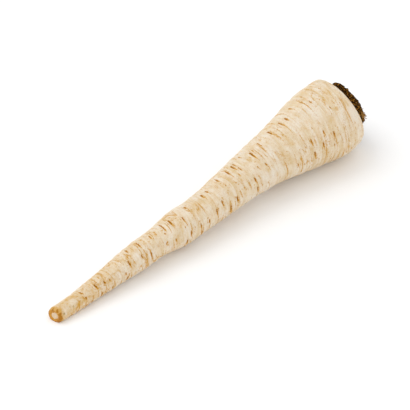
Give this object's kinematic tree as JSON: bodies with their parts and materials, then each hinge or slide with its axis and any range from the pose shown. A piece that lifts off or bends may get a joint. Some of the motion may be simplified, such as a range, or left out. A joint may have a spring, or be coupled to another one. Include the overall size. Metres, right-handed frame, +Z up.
{
  "type": "parsley root",
  "caption": "Whole parsley root with a tapered, ringed cream body, a blunt cut tip and a dark stub of trimmed leaf bases in its shoulder.",
  "frame": {"origin": "middle of the bounding box's base, on the surface that the root lies on", "axes": "+X along the root from the cut tip to the crown, +Z up from the surface"},
  "size_m": [0.235, 0.0458, 0.0434],
  "materials": {
    "root_skin": "thin matte skin over firm cream flesh, with tan cross scars",
    "crown_fibre": "dry dark brown fibre, rough"
  },
  "bodies": {
    "root": {"root": "root_skin", "crown": "crown_fibre"}
  },
  "joints": []
}
